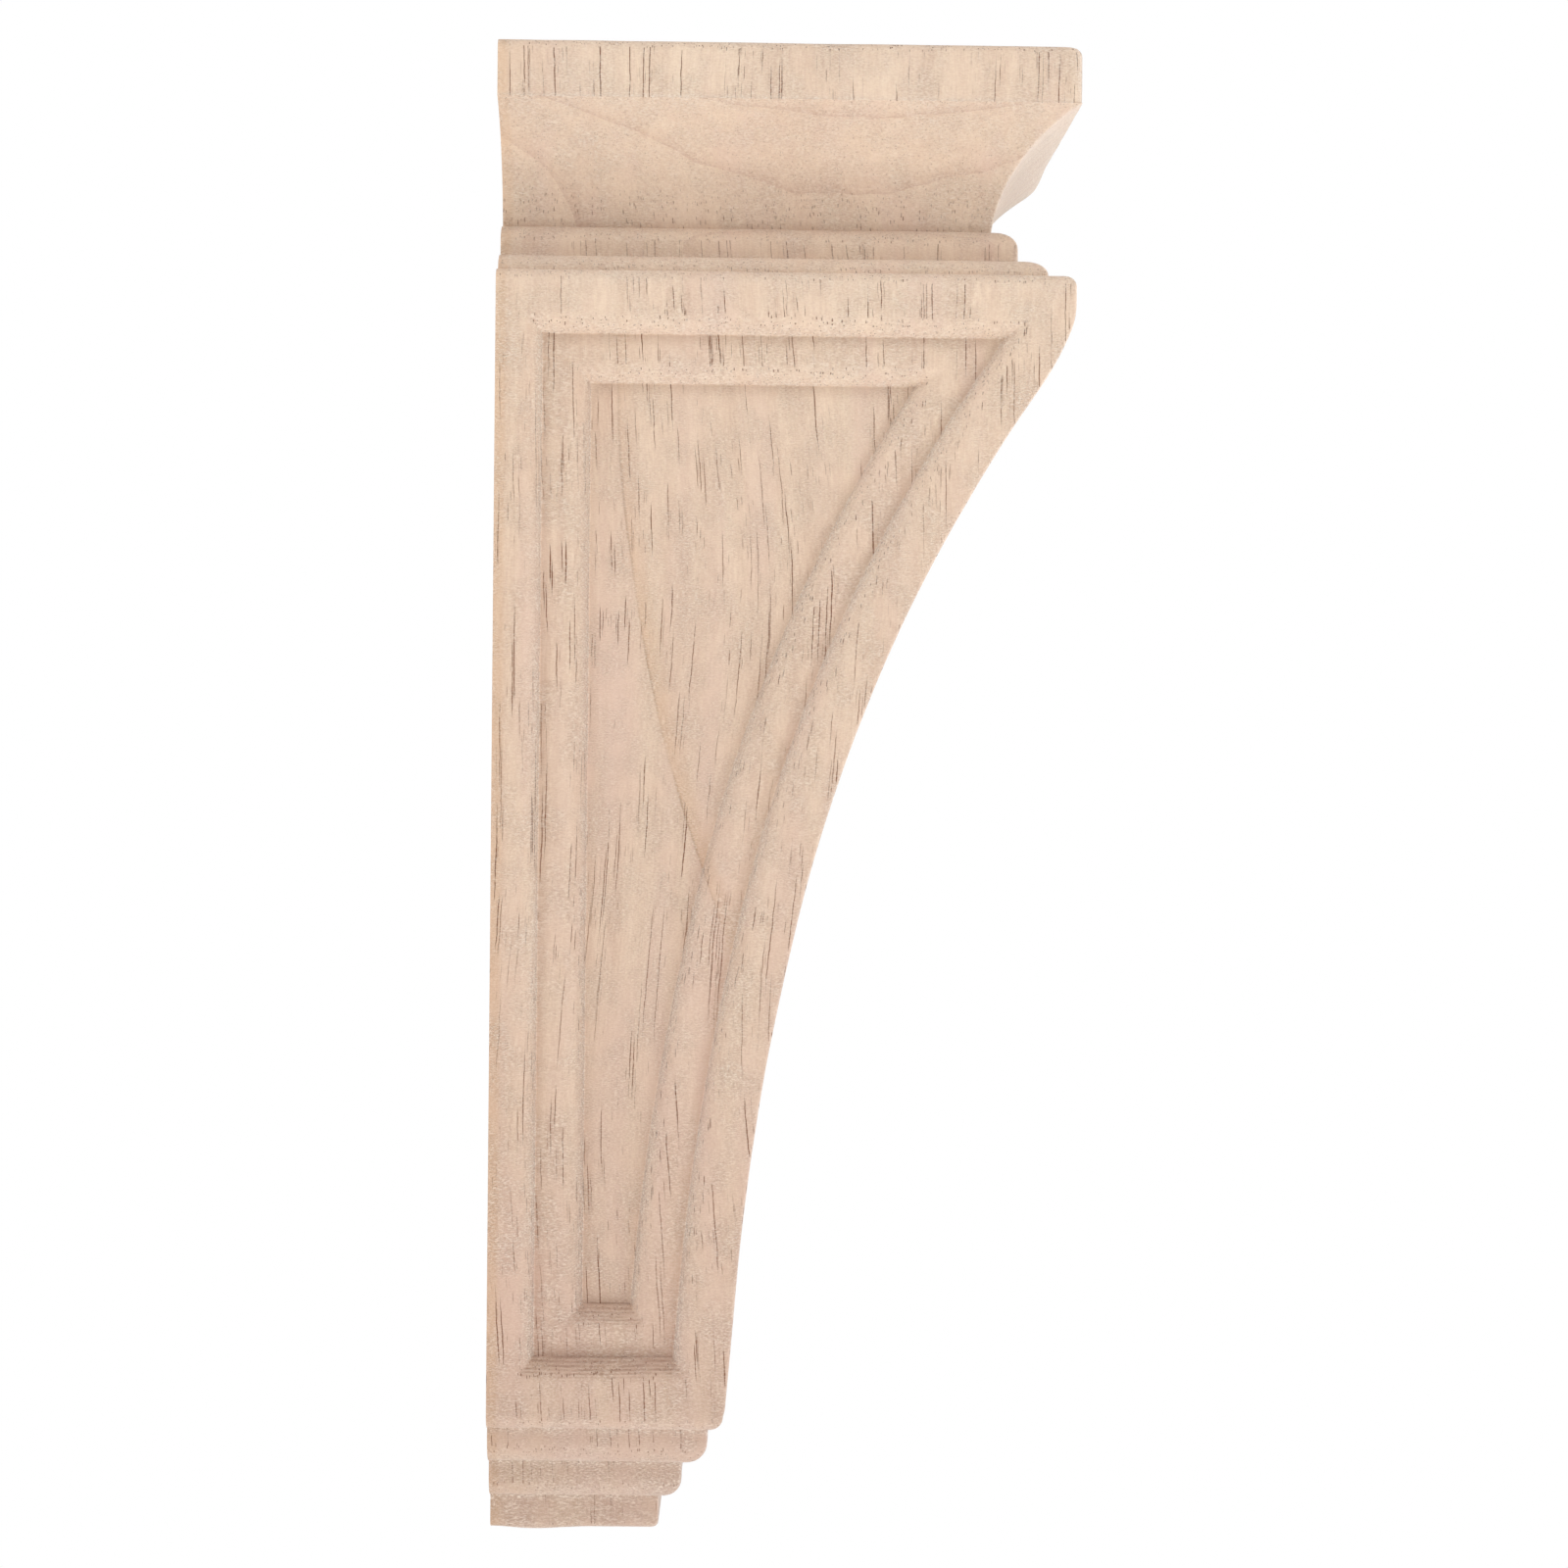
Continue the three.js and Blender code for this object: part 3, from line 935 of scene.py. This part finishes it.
studio = {
    "allRound": 0.16,
    "aim": (0.07, 0, 0),
    # place, size and power of each lamp
    "lamps": [
        ((0.07, -1.6, 0), 1.2, 5.2),
        ((0.07, -1.15, -1.1), 1.2, 13.2),
        ((0.07, -1.15, 1.1), 1.2, 5.5),
        ((0.07, -0.35, -1.5), 1.2, 5.5),
        ((0.07, -0.35, 1.5), 1.2, 10),
        ((1.6, -0.35, 0), 1.2, 10.5),
        ((-1.46, -0.35, 0), 1.2, 8),
        ((1.2, 0.5, 0), 1, 12.5),
    ],
    "farLampColour": (0.85, 1, 1.15),    # of the lamp beyond the far side
    "floorColour": (0.87, 0.86, 0.85, 1),
    "floorDrop": 1.7,
    "floorSize": 2.9,
    "floorSides": 64,
}


# The backdrop is white, and its light on the wood is weak
def setBackdrop(scene):
    world = bpy.data.worlds.new("studio")
    scene.world = world
    world.use_nodes = True
    tree = world.node_tree
    tree.nodes.clear()
    output = addNode(tree, "ShaderNodeOutputWorld")
    mix = addNode(tree, "ShaderNodeMixShader")
    light = addNode(tree, "ShaderNodeBackground")
    light.inputs["Color"].default_value = (1, 0.99, 0.975, 1)
    light.inputs["Strength"].default_value = studio["allRound"]
    white = addNode(tree, "ShaderNodeBackground")
    white.inputs["Color"].default_value = (1, 1, 1, 1)
    tree.links.new(addNode(tree, "ShaderNodeLightPath").outputs["Is Camera Ray"], mix.inputs[0])
    tree.links.new(light.outputs[0], mix.inputs[1])
    tree.links.new(white.outputs[0], mix.inputs[2])
    tree.links.new(mix.outputs[0], output.inputs["Surface"])


def hangLamps(scene):
    for place, size, power in studio["lamps"]:
        lamp = bpy.data.lights.new("lamp", "AREA")
        lamp.size = size
        lamp.energy = power
        if place[1] > 0:
            lamp.color = studio["farLampColour"]
        lampObject = bpy.data.objects.new("lamp", lamp)
        lampObject.location = place
        aim = Vector(studio["aim"]) - Vector(place)
        lampObject.rotation_euler = aim.to_track_quat("-Z", "Y").to_euler()
        lampObject.visible_camera = False
        scene.collection.objects.link(lampObject)


def layFloor(scene):
    size, sides = studio["floorSize"], studio["floorSides"]
    rim = [(size * math.cos(math.tau * i / sides), size * math.sin(math.tau * i / sides),
            -studio["floorDrop"]) for i in range(sides)]
    data = bpy.data.meshes.new("floor")
    data.from_pydata(rim, [], [tuple(range(sides))])
    floor = bpy.data.objects.new("floor", data)
    scene.collection.objects.link(floor)
    paint = bpy.data.materials.new("floorPaint")
    paint.use_nodes = True
    coat = paint.node_tree.nodes["Principled BSDF"]
    coat.inputs["Base Color"].default_value = studio["floorColour"]
    coat.inputs["Roughness"].default_value = 0.7
    data.materials.append(paint)


scene = bpy.context.scene
scene.view_settings.view_transform = "Standard"
setBackdrop(scene)
hangLamps(scene)
layFloor(scene)
print("studio lit")
